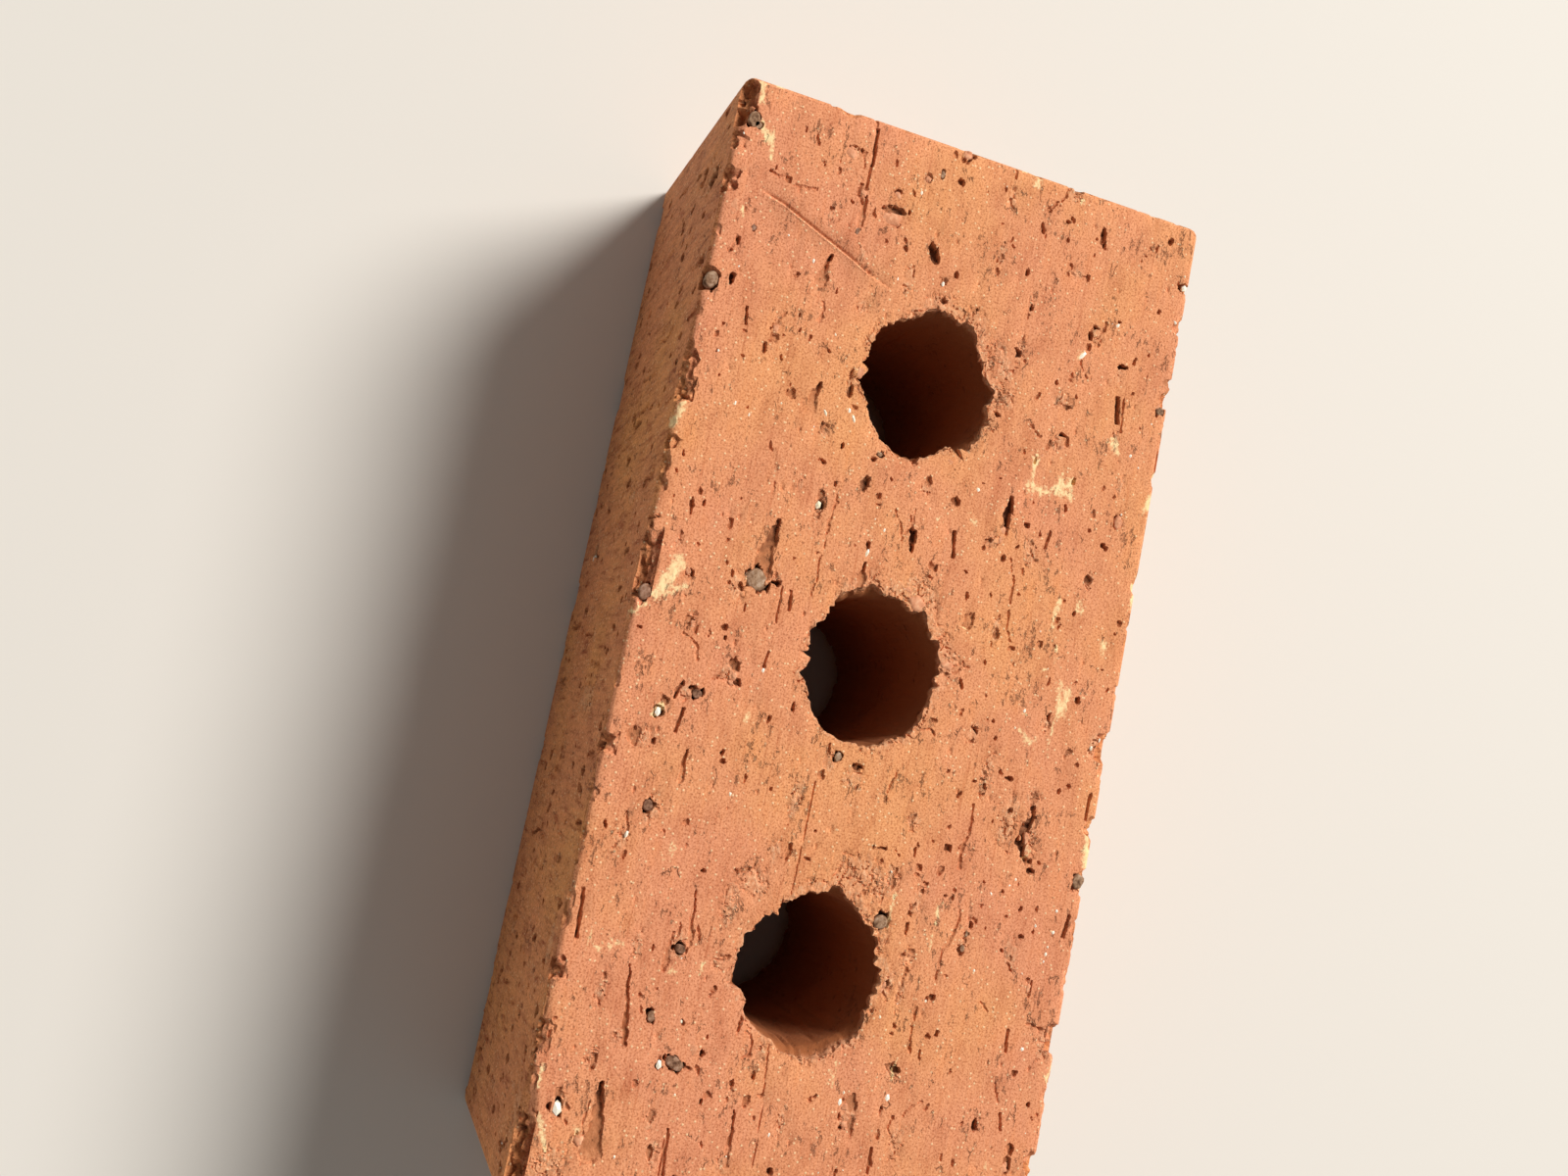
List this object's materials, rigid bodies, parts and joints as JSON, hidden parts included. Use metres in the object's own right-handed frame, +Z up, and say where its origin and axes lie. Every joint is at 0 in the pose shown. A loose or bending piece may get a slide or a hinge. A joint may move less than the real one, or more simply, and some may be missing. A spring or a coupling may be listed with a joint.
{
  "type": "clay brick",
  "caption": "Wire-cut fired clay brick for bedding in mortar: a rectangular block with a row of round cores running from bed face to bed face.",
  "frame": {"origin": "centre of the lower bed face, which the brick rests on", "axes": "+X along the brick's length, +Y across its width away from the front stretcher face, +Z up along the cores"},
  "size_m": [0.222, 0.106, 0.073],
  "materials": {
    "fired_clay": "matte"
  },
  "bodies": {
    "root": {"brick": "fired_clay"}
  },
  "joints": []
}
